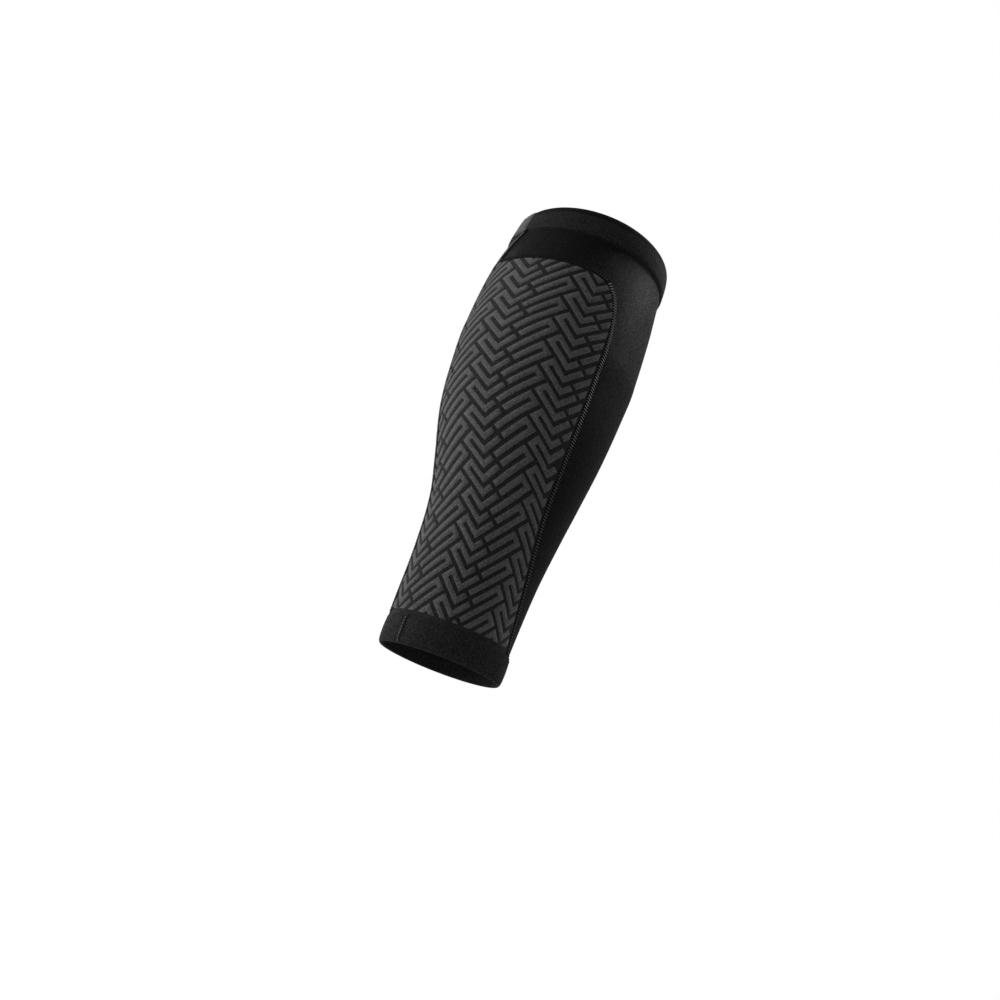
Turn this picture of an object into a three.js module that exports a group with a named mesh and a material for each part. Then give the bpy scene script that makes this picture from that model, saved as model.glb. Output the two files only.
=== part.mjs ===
// A calf compression sleeve for the right leg, in the form that it takes when it is worn.
// It is a stretchy tube, open at both ends: a folded band at the top and at the bottom, a thicker calf
// panel in two halves that meet at the back, a smooth front panel that also makes the yoke above the calf
// panel's arch, the raised flat seams between them, and the lap that closes each band.
// Millimetres, +Z up along the leg, +Y towards the calf, -Y towards the shin, -X the outer side of the leg.
// The origin is on the leg's axis at the fullest part of the calf.
import * as THREE from 'three';

// Overall height and the two bands
const SLEEVE_LENGTH = 330;
const TOP_BAND_HEIGHT = 20;
const BOTTOM_BAND_HEIGHT = 20;

// Inside of the sleeve, as reaches from the leg's axis to the back, to the front and to each side
const ANKLE_BACK = 40.8;
const ANKLE_FRONT = 38;
const ANKLE_SIDE = 33.8;
const CALF_BACK = 67.8;
const CALF_FRONT = 60.2;
const CALF_SIDE = 57.4;
const TOP_BACK = 57.8;
const TOP_FRONT = 56.4;
const TOP_SIDE = 53.9;

// Thickness of the cloth
const BAND_WALL = 2.4;
const CALF_PANEL_WALL = 2.2;
const FRONT_PANEL_WALL = 1.6;
const BAND_EDGE_ROUND = 0.6;

// Arch at the top of the calf panel: the yoke above it, the drop to its front corners, how square the
// corners are, and the low peak where the two halves meet at the back
const YOKE_HEIGHT = 28;
const ARCH_CORNER_DROP = 52;
const ARCH_SQUARENESS = 13;
const ARCH_PEAK = 6;
const ARCH_PEAK_REACH = 0.22;

// Raised seams and laps
const SEAM_WIDTH = 4;
const SEAM_RISE = 0.8;
const SEAM_SKEW = 24;
const SEAM_SKEW_HEIGHT = 57;
const TOP_LAP_WIDTH = 14;
const BOTTOM_LAP_WIDTH = 5;
const BOTTOM_LAP_ANGLE = 35;
const LAP_RISE = 0.9;
const LAP_SETBACK = 0.8;

// Clearance between pieces that meet, and between the ends of two seams that meet
const JOINT_GAP = 0.3;
const SEAM_END_GAP = 1.5;

// The leg inside the sleeve. height is a share of the sleeve's length. back, front and side are shares of
// the way from the nearer end's reach to the calf's, the ankle's below the fullest row and the top's above.
const LEG = {
  columns: ['height', 'back', 'front', 'side'],
  rows: [
    [0.0, 0.0, 0.0, 0.0],
    [0.08, 0.01, 0.03, 0.02],
    [0.21, 0.04, 0.16, 0.09],
    [0.316, 0.16, 0.36, 0.285],
    [0.4, 0.42, 0.545, 0.52],
    [0.512, 0.795, 0.78, 0.78],
    [0.627, 0.965, 0.94, 0.925],
    [0.715, 1.0, 1.0, 1.0],
    [0.836, 0.8, 0.75, 0.77],
    [0.927, 0.4, 0.25, 0.22],
    [1.0, 0.0, 0.0, 0.0],
  ],
};
const FULLEST_SHARE = 0.715;

// Front edge of the calf panel: its angle from the back of the leg at shares of the sleeve's length
const PANEL_EDGE = {
  columns: ['height', 'angle'],
  rows: [
    [0.06, 148],
    [0.13, 140],
    [0.2, 132.5],
    [0.27, 124.5],
    [0.33, 119],
    [0.4, 115.5],
    [0.48, 113],
    [0.59, 111],
    [0.7, 109.5],
    [1.0, 109],
  ],
};

// How finely the faces are cut
const BAND_STEPS = 64;
const PANEL_COLUMNS = 18;
const PANEL_CLUSTERING = 1.7;
const FRONT_COLUMNS = 16;
const PANEL_ROWS = 16;
const YOKE_ROWS = 5;
const SEAM_STEPS = 44;
const LAP_STATIONS = 4;

const FULL_TURN = 2 * Math.PI;
const SMALL_ANGLE = 1e-3;
const OUTER = 1;
const INNER = -1;
const ARCH_HEIGHT = SLEEVE_LENGTH - TOP_BAND_HEIGHT - YOKE_HEIGHT;
const CORNER_HEIGHT = ARCH_HEIGHT - ARCH_CORNER_DROP;
const PANEL_BOTTOM = BOTTOM_BAND_HEIGHT + JOINT_GAP;
const PANEL_TOP = SLEEVE_LENGTH - TOP_BAND_HEIGHT - JOINT_GAP;
const FULLEST_HEIGHT = FULLEST_SHARE * SLEEVE_LENGTH;

// A column of a table, read smoothly at any height from its first column.
function read(table, name, height) {
  const rows = table.rows;
  const column = table.columns.indexOf(name);
  const last = rows.length - 1;
  const at = Math.min(Math.max(height, rows[0][0]), rows[last][0]);
  let k = 0;
  while (k < last - 1 && rows[k + 1][0] < at) k += 1;
  const slope = (i) => {
    const below = rows[Math.max(i - 1, 0)];
    const above = rows[Math.min(i + 1, last)];
    return (above[column] - below[column]) / (above[0] - below[0]);
  };
  const span = rows[k + 1][0] - rows[k][0];
  const t = (at - rows[k][0]) / span;
  const start = (1 + 2 * t) * (1 - t) ** 2 * rows[k][column];
  const end = t * t * (3 - 2 * t) * rows[k + 1][column];
  const bend = t * (1 - t) ** 2 * slope(k) - t * t * (1 - t) * slope(k + 1);
  return start + end + bend * span;
}

// Reach of the leg from its axis on one side, at a height above the lower edge.
function reach(side, height) {
  const share = height / SLEEVE_LENGTH;
  const ends = {
    back: [ANKLE_BACK, CALF_BACK, TOP_BACK],
    front: [ANKLE_FRONT, CALF_FRONT, TOP_FRONT],
    side: [ANKLE_SIDE, CALF_SIDE, TOP_SIDE],
  };
  const [ankle, calf, top] = ends[side];
  const nearer = share < FULLEST_SHARE ? ankle : top;
  return nearer + (calf - nearer) * read(LEG, side, share);
}

// A point at an angle round from the back towards the outer side, a height, and a distance out from the leg.
function place(angle, height, out) {
  const depth = reach(Math.cos(angle) > 0 ? 'back' : 'front', height) + out;
  const width = reach('side', height) + out;
  return new THREE.Vector3(-width * Math.sin(angle), depth * Math.cos(angle), height - FULLEST_HEIGHT);
}

// Millimetres of cloth for each radian round the leg.
function roundLength(angle, height) {
  const step = place(angle + SMALL_ANGLE, height, FRONT_PANEL_WALL);
  return step.distanceTo(place(angle, height, FRONT_PANEL_WALL)) / SMALL_ANGLE;
}

// Angle of the back seam, which turns towards the outer side on its way up to the top band.
function seamAngle(height) {
  const turned = (height - (PANEL_TOP - SEAM_SKEW_HEIGHT)) / SEAM_SKEW_HEIGHT;
  return THREE.MathUtils.degToRad(SEAM_SKEW) * Math.min(Math.max(turned, 0), 1) ** 2;
}

// Angle of the calf panel's front edge.
function edgeAngle(height) {
  return THREE.MathUtils.degToRad(read(PANEL_EDGE, 'angle', height / SLEEVE_LENGTH));
}

// Height of the arch at a share of the way from the back seam to the front edge.
function archHeight(share) {
  const peak = ARCH_PEAK * Math.max(1 - share / ARCH_PEAK_REACH, 0) ** 2;
  return CORNER_HEIGHT + ARCH_CORNER_DROP * Math.sqrt(1 - share ** ARCH_SQUARENESS) + peak;
}

// A place on one half of the back: share runs from the seam to the front edge, and each boundary moves
// towards the front by a clearance.
function backPlace(half, share, height, seamClear, edgeClear) {
  const seam = half * seamAngle(height) + seamClear / roundLength(0, height);
  const edge = edgeAngle(height);
  const front = edge + edgeClear / roundLength(edge, height);
  return { angle: half * (seam + (front - seam) * share), height };
}

// Shares of the panel's columns, closer together towards the corner of the arch.
function columnShare(column) {
  return 1 - (1 - column / PANEL_COLUMNS) ** PANEL_CLUSTERING;
}

// A closed body from lists of points and of faces, each face a loop of point numbers, turned to face out.
function closedBody(points, faces) {
  const index = [];
  for (const face of faces) {
    for (let i = 1; i < face.length - 1; i += 1) index.push(face[0], face[i], face[i + 1]);
  }
  let volume = 0;
  for (let i = 0; i < index.length; i += 3) {
    const [a, b, c] = [points[index[i]], points[index[i + 1]], points[index[i + 2]]];
    volume += a.dot(new THREE.Vector3().crossVectors(b, c));
  }
  if (volume < 0) index.reverse();
  const geometry = new THREE.BufferGeometry().setFromPoints(points);
  geometry.setIndex(index);
  geometry.computeVertexNormals();
  return geometry;
}

// Cloth of an even wall over the cells of a grid. at(row, column) gives each corner's place, and
// filled(row, column) says which cells are cloth.
function clothBody(rows, columns, at, filled, wall) {
  const points = [];
  const numbers = new Map();
  const corner = (row, column, out) => {
    const key = `${row} ${column} ${out}`;
    if (!numbers.has(key)) {
      const { angle, height } = at(row, column);
      numbers.set(key, points.length);
      points.push(place(angle, height, out));
    }
    return numbers.get(key);
  };
  const has = (row, column) => row >= 0 && column >= 0 && row < rows && column < columns && filled(row, column);
  const faces = [];
  const edgeWall = (a, b) => {
    faces.push([corner(...a, 0), corner(...b, 0), corner(...b, wall), corner(...a, wall)]);
  };
  for (let row = 0; row < rows; row += 1) {
    for (let column = 0; column < columns; column += 1) {
      if (!has(row, column)) continue;
      const loop = [[row, column], [row, column + 1], [row + 1, column + 1], [row + 1, column]];
      faces.push(loop.map((spot) => corner(...spot, wall)));
      faces.push(loop.map((spot) => corner(...spot, 0)).reverse());
      if (!has(row - 1, column)) edgeWall(loop[0], loop[1]);
      if (!has(row, column + 1)) edgeWall(loop[1], loop[2]);
      if (!has(row + 1, column)) edgeWall(loop[2], loop[3]);
      if (!has(row, column - 1)) edgeWall(loop[3], loop[0]);
    }
  }
  return closedBody(points, faces);
}

// A strip along a path on the leg. Each station lies across the path and has a low and a high side.
// stations(place) may change along the path, and a looped path closes on itself.
function stripBody(path, stations, looped) {
  const count = path.length;
  const points = [];
  let width = 0;
  path.forEach((spot, i) => {
    const before = path[looped ? (i + count - 1) % count : Math.max(i - 1, 0)];
    const after = path[looped ? (i + 1) % count : Math.min(i + 1, count - 1)];
    const perRadian = roundLength(spot.angle, spot.height);
    let turn = after.angle - before.angle;
    if (looped && turn < 0) turn += FULL_TURN;
    const along = new THREE.Vector2(turn * perRadian, after.height - before.height).normalize();
    const rows = stations(spot);
    width = rows.length;
    const side = rows.map(({ across, low, high }) => {
      const angle = spot.angle - (across * along.y) / perRadian;
      const height = spot.height + across * along.x;
      return [place(angle, height, low), place(angle, height, high)];
    });
    points.push(...side.map((pair) => pair[0]), ...side.map((pair) => pair[1]).reverse());
  });
  const ring = 2 * width;
  const faces = [];
  for (let i = 0; i < (looped ? count : count - 1); i += 1) {
    const here = i * ring;
    const next = ((i + 1) % count) * ring;
    for (let k = 0; k < ring; k += 1) {
      const beside = (k + 1) % ring;
      faces.push([here + k, here + beside, next + beside, next + k]);
    }
  }
  if (!looped) {
    const end = (count - 1) * ring;
    for (let k = 0; k < width - 1; k += 1) {
      const top = ring - 1 - k;
      faces.push([k, top, top - 1, k + 1]);
      faces.push([end + k, end + k + 1, end + top - 1, end + top]);
    }
  }
  return closedBody(points, faces);
}

// The same path with its points at even distances.
function evenPath(path, steps) {
  const lengths = [0];
  for (let i = 1; i < path.length; i += 1) {
    const [a, b] = [path[i - 1], path[i]];
    const round = (b.angle - a.angle) * roundLength(b.angle, b.height);
    lengths.push(lengths[i - 1] + Math.hypot(round, b.height - a.height));
  }
  const total = lengths[lengths.length - 1];
  const even = [];
  let k = 0;
  for (let i = 0; i <= steps; i += 1) {
    const wanted = (total * i) / steps;
    while (k < path.length - 2 && lengths[k + 1] < wanted) k += 1;
    const t = (wanted - lengths[k]) / (lengths[k + 1] - lengths[k]);
    even.push({
      angle: THREE.MathUtils.lerp(path[k].angle, path[k + 1].angle, t),
      height: THREE.MathUtils.lerp(path[k].height, path[k + 1].height, t),
    });
  }
  return even;
}

// A band: a loop of folded cloth with rounded edges.
function bandBody(bottom, height) {
  const path = [];
  for (let i = 0; i < BAND_STEPS; i += 1) {
    path.push({ angle: (FULL_TURN * i) / BAND_STEPS, height: bottom + height / 2 });
  }
  const edge = height / 2;
  const folded = [
    { across: -edge, low: BAND_EDGE_ROUND, high: BAND_WALL - BAND_EDGE_ROUND },
    { across: BAND_EDGE_ROUND - edge, low: 0, high: BAND_WALL },
    { across: edge - BAND_EDGE_ROUND, low: 0, high: BAND_WALL },
    { across: edge, low: BAND_EDGE_ROUND, high: BAND_WALL - BAND_EDGE_ROUND },
  ];
  return stripBody(path, () => folded, true);
}

// One half of the calf panel, from the back seam to its front edge and up to the arch.
function calfPanelBody(half) {
  const at = (row, column) => {
    const share = columnShare(column);
    const top = archHeight(share) - JOINT_GAP / 2;
    const height = THREE.MathUtils.lerp(PANEL_BOTTOM, top, row / PANEL_ROWS);
    return backPlace(half, share, height, JOINT_GAP / 2, -JOINT_GAP / 2);
  };
  return clothBody(PANEL_ROWS, PANEL_COLUMNS, at, () => true, CALF_PANEL_WALL);
}

// The front panel with its yoke: one cloth that runs round the shin from the back seam to the back seam.
function frontPanelBody() {
  const frontEnd = PANEL_COLUMNS + FRONT_COLUMNS;
  const rows = PANEL_ROWS + YOKE_ROWS;
  const heightAt = (row, share) => {
    const arch = archHeight(share) + JOINT_GAP / 2;
    if (row <= PANEL_ROWS) return THREE.MathUtils.lerp(PANEL_BOTTOM, arch, row / PANEL_ROWS);
    return THREE.MathUtils.lerp(arch, PANEL_TOP, (row - PANEL_ROWS) / YOKE_ROWS);
  };
  const at = (row, column) => {
    if (column <= PANEL_COLUMNS) {
      const share = columnShare(column);
      return backPlace(OUTER, share, heightAt(row, share), JOINT_GAP / 2, JOINT_GAP / 2);
    }
    if (column >= frontEnd) {
      const share = columnShare(frontEnd + PANEL_COLUMNS - column);
      const spot = backPlace(INNER, share, heightAt(row, share), JOINT_GAP / 2, JOINT_GAP / 2);
      return { angle: spot.angle + FULL_TURN, height: spot.height };
    }
    const height = heightAt(row, 1);
    const start = backPlace(OUTER, 1, height, 0, JOINT_GAP / 2).angle;
    const share = (column - PANEL_COLUMNS) / FRONT_COLUMNS;
    return { angle: THREE.MathUtils.lerp(start, FULL_TURN - start, share), height };
  };
  const filled = (row, column) => row >= PANEL_ROWS || (column >= PANEL_COLUMNS && column < frontEnd);
  return clothBody(rows, frontEnd + PANEL_COLUMNS, at, filled, FRONT_PANEL_WALL);
}

// The raised seam round one half of the calf panel: up its front edge, round the corner and along the arch.
function panelSeamBody(half) {
  const fine = 400;
  const clear = (SEAM_WIDTH / 2 + SEAM_END_GAP) / (roundLength(0, ARCH_HEIGHT) * edgeAngle(ARCH_HEIGHT));
  const outline = [];
  for (let i = 0; i < fine; i += 1) {
    const height = THREE.MathUtils.lerp(PANEL_BOTTOM, CORNER_HEIGHT, i / fine);
    outline.push(backPlace(half, 1, height, 0, 0));
  }
  for (let i = 0; i <= fine; i += 1) {
    const share = clear + (1 - clear) * (1 - (i / fine) ** PANEL_CLUSTERING);
    outline.push(backPlace(half, share, archHeight(share), 0, 0));
  }
  const panel = CALF_PANEL_WALL + JOINT_GAP;
  const front = FRONT_PANEL_WALL + JOINT_GAP;
  const edge = SEAM_WIDTH / 2;
  const section = [
    { across: edge, low: panel, high: panel + SEAM_RISE / 2 },
    { across: edge / 2, low: panel, high: panel + SEAM_RISE },
    { across: -JOINT_GAP / 2, low: panel, high: panel + SEAM_RISE },
    { across: -JOINT_GAP * 1.5, low: front, high: (panel + front) / 2 + SEAM_RISE },
    { across: -edge / 2, low: front, high: front + SEAM_RISE },
    { across: -edge, low: front, high: front + SEAM_RISE / 2 },
  ];
  const turned = section.map((station) => ({ ...station, across: half * station.across }));
  return stripBody(evenPath(outline, SEAM_STEPS), () => turned, false);
}

// The raised seam up the back, over the calf panel's two halves and then over the yoke.
function backSeamBody() {
  const path = [];
  for (let i = 0; i <= SEAM_STEPS; i += 1) {
    const height = THREE.MathUtils.lerp(PANEL_BOTTOM, PANEL_TOP - SEAM_END_GAP, i / SEAM_STEPS);
    path.push({ angle: seamAngle(height), height });
  }
  const peak = ARCH_HEIGHT + ARCH_PEAK;
  const edge = SEAM_WIDTH / 2;
  const stations = ({ height }) => {
    const passed = Math.min(Math.max((height - peak - SEAM_WIDTH) / SEAM_WIDTH, 0), 1);
    const under = THREE.MathUtils.lerp(CALF_PANEL_WALL, FRONT_PANEL_WALL, passed) + JOINT_GAP;
    return [
      { across: -edge, low: under, high: under + SEAM_RISE / 2 },
      { across: -edge / 2, low: under, high: under + SEAM_RISE },
      { across: edge / 2, low: under, high: under + SEAM_RISE },
      { across: edge, low: under, high: under + SEAM_RISE / 2 },
    ];
  };
  return stripBody(path, stations, false);
}

// The lap that closes a band: its end folded over and sewn down on the outside.
function lapBody(bandBottom, bandHeight, width, angle) {
  const path = [];
  for (let i = 0; i <= LAP_STATIONS; i += 1) {
    const from = bandBottom + LAP_SETBACK;
    const height = THREE.MathUtils.lerp(from, from + bandHeight - 2 * LAP_SETBACK, i / LAP_STATIONS);
    path.push({ angle, height });
  }
  const under = BAND_WALL + JOINT_GAP;
  const section = [];
  for (let i = 0; i <= LAP_STATIONS; i += 1) {
    const thick = i === 0 || i === LAP_STATIONS ? LAP_RISE / 2 : LAP_RISE;
    section.push({ across: width * (i / LAP_STATIONS - 0.5), low: under, high: under + thick });
  }
  return stripBody(path, () => section, false);
}

// A named piece with its cloth's colour.
function piece(name, geometry, colour, roughness) {
  const material = new THREE.MeshStandardMaterial({ color: colour, roughness, metalness: 0 });
  material.name = name;
  const mesh = new THREE.Mesh(geometry, material);
  mesh.name = name;
  return mesh;
}

const topBandBottom = SLEEVE_LENGTH - TOP_BAND_HEIGHT;
const topLapAngle = seamAngle(SLEEVE_LENGTH) - TOP_LAP_WIDTH / 2 / roundLength(0, SLEEVE_LENGTH);
const bottomLapAngle = THREE.MathUtils.degToRad(BOTTOM_LAP_ANGLE);

const sleeve = new THREE.Group();
sleeve.name = 'calf_compression_sleeve';
sleeve.add(
  piece('top_band', bandBody(topBandBottom, TOP_BAND_HEIGHT), 0x1b1b1c, 0.9),
  piece('bottom_band', bandBody(0, BOTTOM_BAND_HEIGHT), 0x1b1b1c, 0.9),
  piece('front_panel', frontPanelBody(), 0x161617, 0.5),
  piece('calf_panel_outer', calfPanelBody(OUTER), 0x2d2d2f, 0.85),
  piece('calf_panel_inner', calfPanelBody(INNER), 0x2d2d2f, 0.85),
  piece('panel_seam_outer', panelSeamBody(OUTER), 0x6a6a6c, 0.7),
  piece('panel_seam_inner', panelSeamBody(INNER), 0x6a6a6c, 0.7),
  piece('back_seam', backSeamBody(), 0x6a6a6c, 0.7),
  piece('top_band_joint', lapBody(topBandBottom, TOP_BAND_HEIGHT, TOP_LAP_WIDTH, topLapAngle), 0x4c4c4e, 0.85),
  piece('bottom_band_joint', lapBody(0, BOTTOM_BAND_HEIGHT, BOTTOM_LAP_WIDTH, bottomLapAngle), 0x2a2a2b, 0.85),
);

export default sleeve;
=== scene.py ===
import math

import bmesh
import bpy
import numpy as np
from mathutils import Matrix, Vector


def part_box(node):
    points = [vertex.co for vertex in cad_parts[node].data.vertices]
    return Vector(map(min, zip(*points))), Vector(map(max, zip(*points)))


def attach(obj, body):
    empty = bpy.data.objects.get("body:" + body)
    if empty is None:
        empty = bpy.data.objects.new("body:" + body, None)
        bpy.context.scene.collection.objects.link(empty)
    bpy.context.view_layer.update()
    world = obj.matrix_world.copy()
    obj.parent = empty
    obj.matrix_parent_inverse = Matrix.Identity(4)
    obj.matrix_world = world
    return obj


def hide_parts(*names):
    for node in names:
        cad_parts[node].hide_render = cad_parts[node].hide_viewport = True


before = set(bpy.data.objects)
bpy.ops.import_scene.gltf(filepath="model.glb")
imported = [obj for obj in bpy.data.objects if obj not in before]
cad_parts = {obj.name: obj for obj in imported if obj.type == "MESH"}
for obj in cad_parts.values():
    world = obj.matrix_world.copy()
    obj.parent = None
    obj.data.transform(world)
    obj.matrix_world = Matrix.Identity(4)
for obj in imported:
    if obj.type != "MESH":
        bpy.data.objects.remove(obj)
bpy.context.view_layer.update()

# The sleeve is a stretchy tube on a leg that isn't there: two folded bands, a patterned calf panel in two
# halves, a satin front panel with its yoke, raised flat seams with their threads, and the bands' laps.
# Lengths are in metres. An angle runs round the leg from the back towards the outer side, which is -X.
MM = 0.001
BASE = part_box("bottom_band")[0].z
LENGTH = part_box("top_band")[1].z - BASE
BOTTOM_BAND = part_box("bottom_band")[1].z - BASE
TOP_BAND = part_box("top_band")[0].z - BASE

# Inside of the sleeve: reaches from the leg's axis at the ankle end, the calf and the top
REACHES = {
    "back": (40.8 * MM, 67.8 * MM, 57.8 * MM),
    "front": (38.0 * MM, 60.2 * MM, 56.4 * MM),
    "side": (33.8 * MM, 57.4 * MM, 53.9 * MM),
}
BAND_WALL = 2.4 * MM
CALF_WALL = 2.2 * MM
FRONT_WALL = 1.6 * MM
JOINT_GAP = 0.3 * MM
TUCK = 0.9 * MM

# Arch, seams and laps
YOKE_HEIGHT = 28 * MM
CORNER_DROP = 52 * MM
SQUARENESS = 13
ARCH_PEAK = 6 * MM
PEAK_REACH = 0.22
SEAM_WIDTH = 4 * MM
SEAM_SKEW = math.radians(24)
SKEW_HEIGHT = 57 * MM
SEAM_END_GAP = 1.5 * MM
TOP_LAP_WIDTH = 14 * MM
BOTTOM_LAP_WIDTH = 5 * MM
BOTTOM_LAP_ANGLE = math.radians(35)
LAP_RISE = 0.7 * MM
LAP_SETBACK = 0.8 * MM

# The leg: height as a share of the length, then shares of the way from the nearer end to the calf
LEG_COLUMNS = ("height", "back", "front", "side")
LEG = np.array([
    (0.0, 0.0, 0.0, 0.0),
    (0.08, 0.01, 0.03, 0.02),
    (0.21, 0.04, 0.16, 0.09),
    (0.316, 0.16, 0.36, 0.285),
    (0.4, 0.42, 0.545, 0.52),
    (0.512, 0.795, 0.78, 0.78),
    (0.627, 0.965, 0.94, 0.925),
    (0.715, 1.0, 1.0, 1.0),
    (0.836, 0.8, 0.75, 0.77),
    (0.927, 0.4, 0.25, 0.22),
    (1.0, 0.0, 0.0, 0.0),
])
FULLEST = 0.715

# Front edge of the calf panel: height as a share of the length, angle in degrees
PANEL_EDGE = np.array([
    (0.06, 148),
    (0.13, 140),
    (0.2, 132.5),
    (0.27, 124.5),
    (0.33, 119),
    (0.4, 115.5),
    (0.48, 113),
    (0.59, 111),
    (0.7, 109.5),
    (1.0, 109),
])

ARCH = TOP_BAND - YOKE_HEIGHT
CORNER = ARCH - CORNER_DROP
PANEL_BOTTOM = BOTTOM_BAND + JOINT_GAP
PANEL_TOP = TOP_BAND - JOINT_GAP
CLOTH_BOTTOM = BOTTOM_BAND - TUCK
CLOTH_TOP = TOP_BAND + TUCK
TURN = 2 * math.pi
OUTER, INNER = 1, -1

# The sheets' columns crowd towards the panel's front edge by this power
CROWDING = 1.7

# Fret of the calf panel: hooks on a slanted square lattice, "i" up towards the front and "j" up towards the
# back, and the two steps that repeat them. The cloth stretches the lattice a little where the leg is wide.
FRET_PITCH = 6.3 * MM
FRET_BAR = 3.65 * MM
FRET_RELIEF = 0.45 * MM
FRET_SHOULDER = FRET_RELIEF * 0.45
FRET_BEVEL = 0.32 * MM
FRET_SUNK = 0.3 * MM
FRET_EDGE_MARGIN = 3.5 * MM
FRET_SEAM_MARGIN = 2.2 * MM
FRET_LOW_MARGIN = 1.7 * MM
FRET_HOOKS = (
    ((0, 0), (5, 0), (5, 1), (2, 1)),
    ((1, 1), (-1, 1), (-1, 3), (-2, 3), (-2, 0), (-1, 0)),
)
FRET_STEPS = ((2, 2), (6, -4))
FRET_REPEATS = 26
FRET_START = 58 * MM
FRET_WIDE = (-20 * MM, 150 * MM)
FRET_TALL = (PANEL_BOTTOM - 8 * MM, ARCH + 16 * MM)
SCRAP = 5 * MM * MM
TINY = 0.9 * MM * MM
LONGEST_MITRE = 1.42
LEAST_MITRE_SUM = 0.35
STRETCH_GIRTH = 0.318
STRETCH_POWER = 0.6

# A fold sharper than this, in degrees, stays a crease. The fret's bevels are steeper and still look round.
CREASE = 50
FRET_CREASE = 62

# Threads: half their thickness, and the painted shade on the grey ones: the heights over which it fades out
# going up from the foot, and its tone as a share of the dark tone
THREAD = 0.3 * MM
THREAD_SIDES = 5
THREAD_PAINTED_SHADE = (135 * MM, 200 * MM)
PAINTED_SHADE_TONE = 0.32

# Rungs over the seams. A rung rises by RUNG_SLANT of a stitch from end to end, and the light ones stop at
# LIGHT_END of the way up the panel's corner.
STITCH = 2.0 * MM
RUNG_SLANT = 0.35
LADDER_REACH = 1.45 * MM
LAP_LADDER_REACH = 1.35 * MM
LIGHT_END = 0.93

# Rows of straight stitches: pitch, share of it that a stitch covers, and half the thread's thickness
BACK_ROW = (1.9 * MM, 0.9, 0.26 * MM)
LAP_ROW = (2.1 * MM, 0.6, THREAD)
HEM_ROW = (2.4 * MM, 0.62, 0.18 * MM)
NEEDLE_REACH = 1.25 * MM
BACK_LIFT = 0.1 * MM
HEM_ON_BAND = 1.8 * MM
HEM_BESIDE = 1.1 * MM
HEM_SEAM_CLEAR = 0.05
HEM_EDGE_CLEAR = 0.03

# Ridge of cloth under a seam's threads
SEAM_STEP = 0.9 * MM
TAPE_COLUMNS = 11
TAPE_RISE = 0.4 * MM
TAPE_LIFT = 0.12 * MM
TAPE_DEPTH = 0.37 * MM
TAPE_STEEPNESS = 4
UNDER_BAND = 2.2 * MM
ARCH_SEAM_GAP = SEAM_END_GAP * 0.35

# Bands and laps. The two LAP powers say how square a lap's sides and ends are.
BAND_CROWN = 0.95 * MM
BAND_FULLNESS = 0.45
BAND_ROUND = 1.1 * MM
# Depth of the painted shade along the top band's upper rim, measured down from its top
TOP_PAINTED_SHADE = 5.5 * MM
LAP_STEP = 0.7 * MM
LAP_SIDE_POWER = 8
LAP_END_POWER = 14
LAP_END_SHARE = 0.3
LAP_SUNK = 0.1 * MM
LAP_STITCHED = (0.05, 0.95)
TOP_LAP_PITCH = 4.4 * MM
BOTTOM_LAP_ROW = 1.4 * MM

# A seam's materials, in the order of their places on the piece
CLOTH, LIGHT, DARK = 0, 1, 2

# Knits: form, then width and height of a loop in millimetres of cloth
CALF_LOOPS = ("knit", 0.75, 0.62)
FINE_LOOPS = ("knit", 0.5, 0.42)
RIB_LOOPS = ("ribs", 0.9, 0.7)
LOOP_SLANT = 0.6
GROOVE_POWER = 4.0
RIB_SHARE = 0.6
BUMP_STRENGTH = 0.8
SHEEN_ROUGHNESS = 0.4

# Shades of a knit: where a noise turns from one tone to the other, and shares of the dark tone
GRAIN_LIMITS = (0.35, 0.65)
PATCH_LIMITS = (0.3, 0.7)
PATCH_SHADE = 0.6
# The painted shade above a height: its tone as a share of the dark tone, and the blur of its border in
# millimetres of cloth
PAINTED_EDGE_SHADE = 0.55
PAINTED_EDGE_BLUR = 0.7
UNEVEN_GRAIN = 1.2
BLUE_TRACE = 1.04

# Camera: its place round the sleeve, fitted to the outline of the photograph
CAMERA_REACH = 0.595
CAMERA_HEIGHT = -0.0871
CAMERA_TURN = math.radians(10)
CAMERA_YAW = math.radians(-0.17)
CAMERA_PITCH = math.radians(19.26)
CAMERA_ROLL = math.radians(20.59)
FOCAL_SHARE = 0.911
SENSOR = 36.0

# Floor, background and lights. A light has its angle round the sleeve and its rise above level in degrees,
# its distance and size in metres, and its power in watts.
FLOOR_DROP = 0.34
FLOOR_SIZE = 600
FLOOR_TONE = 0.86
FLOOR_GLOW = 0.8
WORLD_LIGHT = 0.24
LIGHTS = {
    "key_front": (186, 57, 0.7, 0.33, 2.5),
    "rim_back": (-64, 25, 1.5, 0.5, 4.4),
    "soft_back": (-8, 2, 2.0, 1.2, 29),
}


def smooth_read(xs, ys, x):
    """A table's column read smoothly through its rows."""
    x = np.clip(np.asarray(x, float), xs[0], xs[-1])
    slopes = np.empty(len(xs))
    slopes[1:-1] = (ys[2:] - ys[:-2]) / (xs[2:] - xs[:-2])
    slopes[0] = (ys[1] - ys[0]) / (xs[1] - xs[0])
    slopes[-1] = (ys[-1] - ys[-2]) / (xs[-1] - xs[-2])
    k = np.clip(np.searchsorted(xs, x) - 1, 0, len(xs) - 2)
    span = xs[k + 1] - xs[k]
    t = (x - xs[k]) / span
    ends = (1 + 2 * t) * (1 - t) ** 2 * ys[k] + t * t * (3 - 2 * t) * ys[k + 1]
    bend = t * (1 - t) ** 2 * slopes[k] - t * t * (1 - t) * slopes[k + 1]
    return ends + bend * span


def reach(side, height):
    """How far the leg's skin stands from its axis at a height, on its back, front or side."""
    ankle, calf, top = REACHES[side]
    share = np.asarray(height) / LENGTH
    nearer = np.where(share < FULLEST, ankle, top)
    return nearer + (calf - nearer) * smooth_read(LEG[:, 0], LEG[:, LEG_COLUMNS.index(side)], share)


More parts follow.
